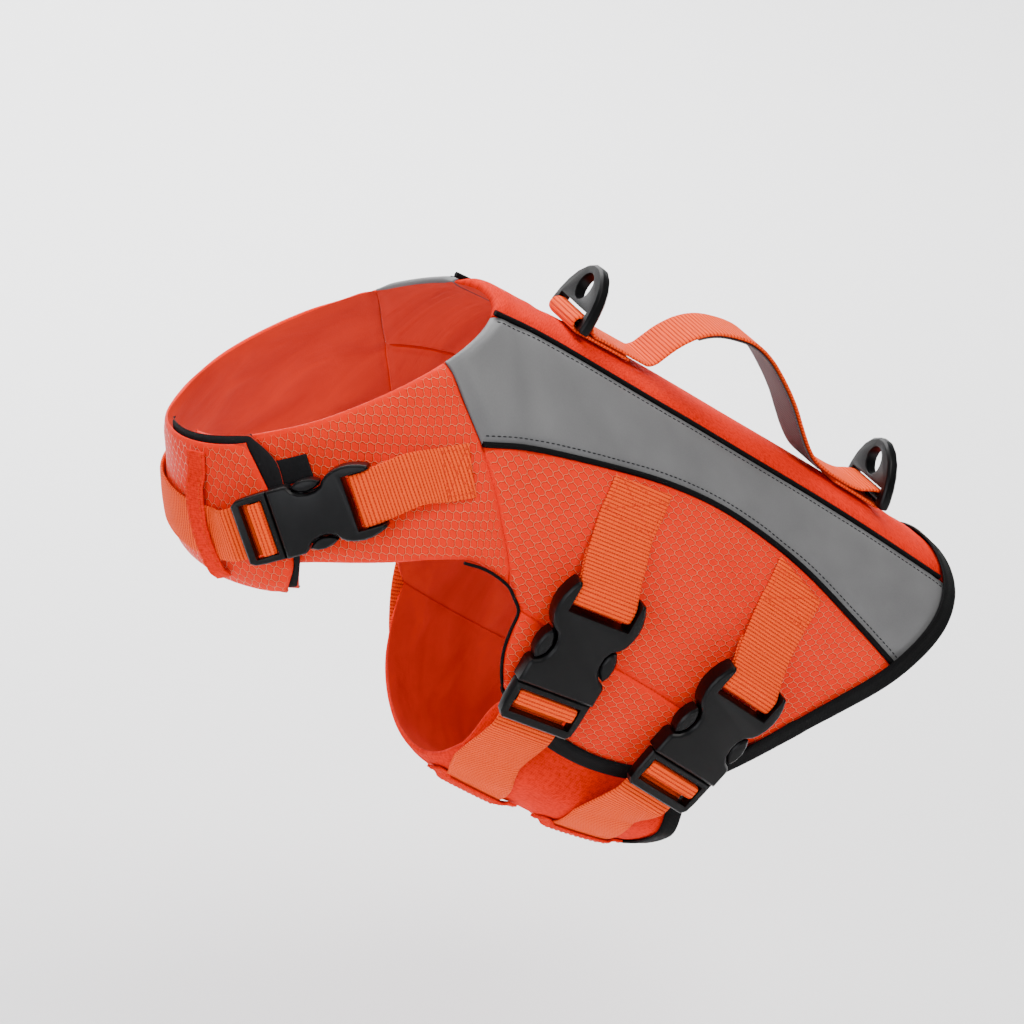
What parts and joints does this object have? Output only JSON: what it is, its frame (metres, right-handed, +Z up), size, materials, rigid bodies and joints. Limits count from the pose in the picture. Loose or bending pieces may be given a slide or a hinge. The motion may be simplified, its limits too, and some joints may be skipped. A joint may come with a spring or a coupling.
{
  "type": "dog life jacket",
  "caption": "Padded dog life jacket, worn and buckled, with a wrap-round collar, grey shoulder panels, belly belts, a grab handle and lead rings on the back.",
  "frame": {"origin": "on the inner face of the spine panel, on the middle of the back, where the wearer's back carries the jacket", "axes": "+Z up, +X towards the tail and level, +Y to the dog's right; the back slopes down towards +X by 36.3 degrees as on a sitting dog"},
  "size_m": [0.3738, 0.1857, 0.281],
  "materials": {
    "plain_orange": "matte plain weave over foam",
    "grey_cloth": "smooth reflective-type cloth over foam",
    "ripstop": "coated ripstop weave over foam",
    "black_facing": "matte brushed cloth",
    "black_trim": "woven tape and cord",
    "black_plastic": "moulded, semi-gloss",
    "webbing": "ribbed flat webbing",
    "handle_lining": "soft woven cloth"
  },
  "bodies": {
    "jacket": {"spine_panel": "plain_orange", "lower_side_left": "plain_orange", "lower_side_right": "plain_orange", "belly_panel": "plain_orange", "shoulder_panel_left": "grey_cloth", "shoulder_panel_right": "grey_cloth", "side_panel_left": "ripstop", "side_panel_right": "ripstop", "collar_left": "ripstop", "collar_right": "ripstop", "flap_facing": "black_facing", "hook_tab": "black_facing", "spine_piping_left": "black_trim", "side_piping_left": "black_trim", "spine_piping_right": "black_trim", "side_piping_right": "black_trim", "hem_binding": "black_trim", "belly_binding": "black_trim", "armhole_edging_left": "black_trim", "armhole_edging_right": "black_trim", "buckle_front_socket": "black_plastic", "buckle_front_plug": "black_plastic", "buckle_rear_socket": "black_plastic", "buckle_rear_plug": "black_plastic", "buckle_collar_socket": "black_plastic", "buckle_collar_plug": "black_plastic", "side_strap_front": "webbing", "side_strap_rear": "webbing", "collar_strap": "webbing", "belly_belt_front": "webbing", "belly_belt_rear": "webbing", "collar_belt": "webbing", "collar_keeper": "webbing", "belly_keeper_front": "webbing", "belly_keeper_rear": "webbing", "handle_webbing": "webbing", "handle_lining": "handle_lining"},
    "front_ring": {"ring_front": "black_plastic"},
    "rear_ring": {"ring_rear": "black_plastic"}
  },
  "joints": [
    {"name": "front_ring_hinge", "type": "hinge", "parent": "jacket", "child": "front_ring", "pos_m": [-0.07464, 0, 0.06477], "axis": [0, 1, 0], "range_deg": [-16, 50]},
    {"name": "rear_ring_hinge", "type": "hinge", "parent": "jacket", "child": "rear_ring", "pos_m": [0.07422, 0, -0.04], "axis": [0, 1, 0], "range_deg": [-12, 70]}
  ]
}
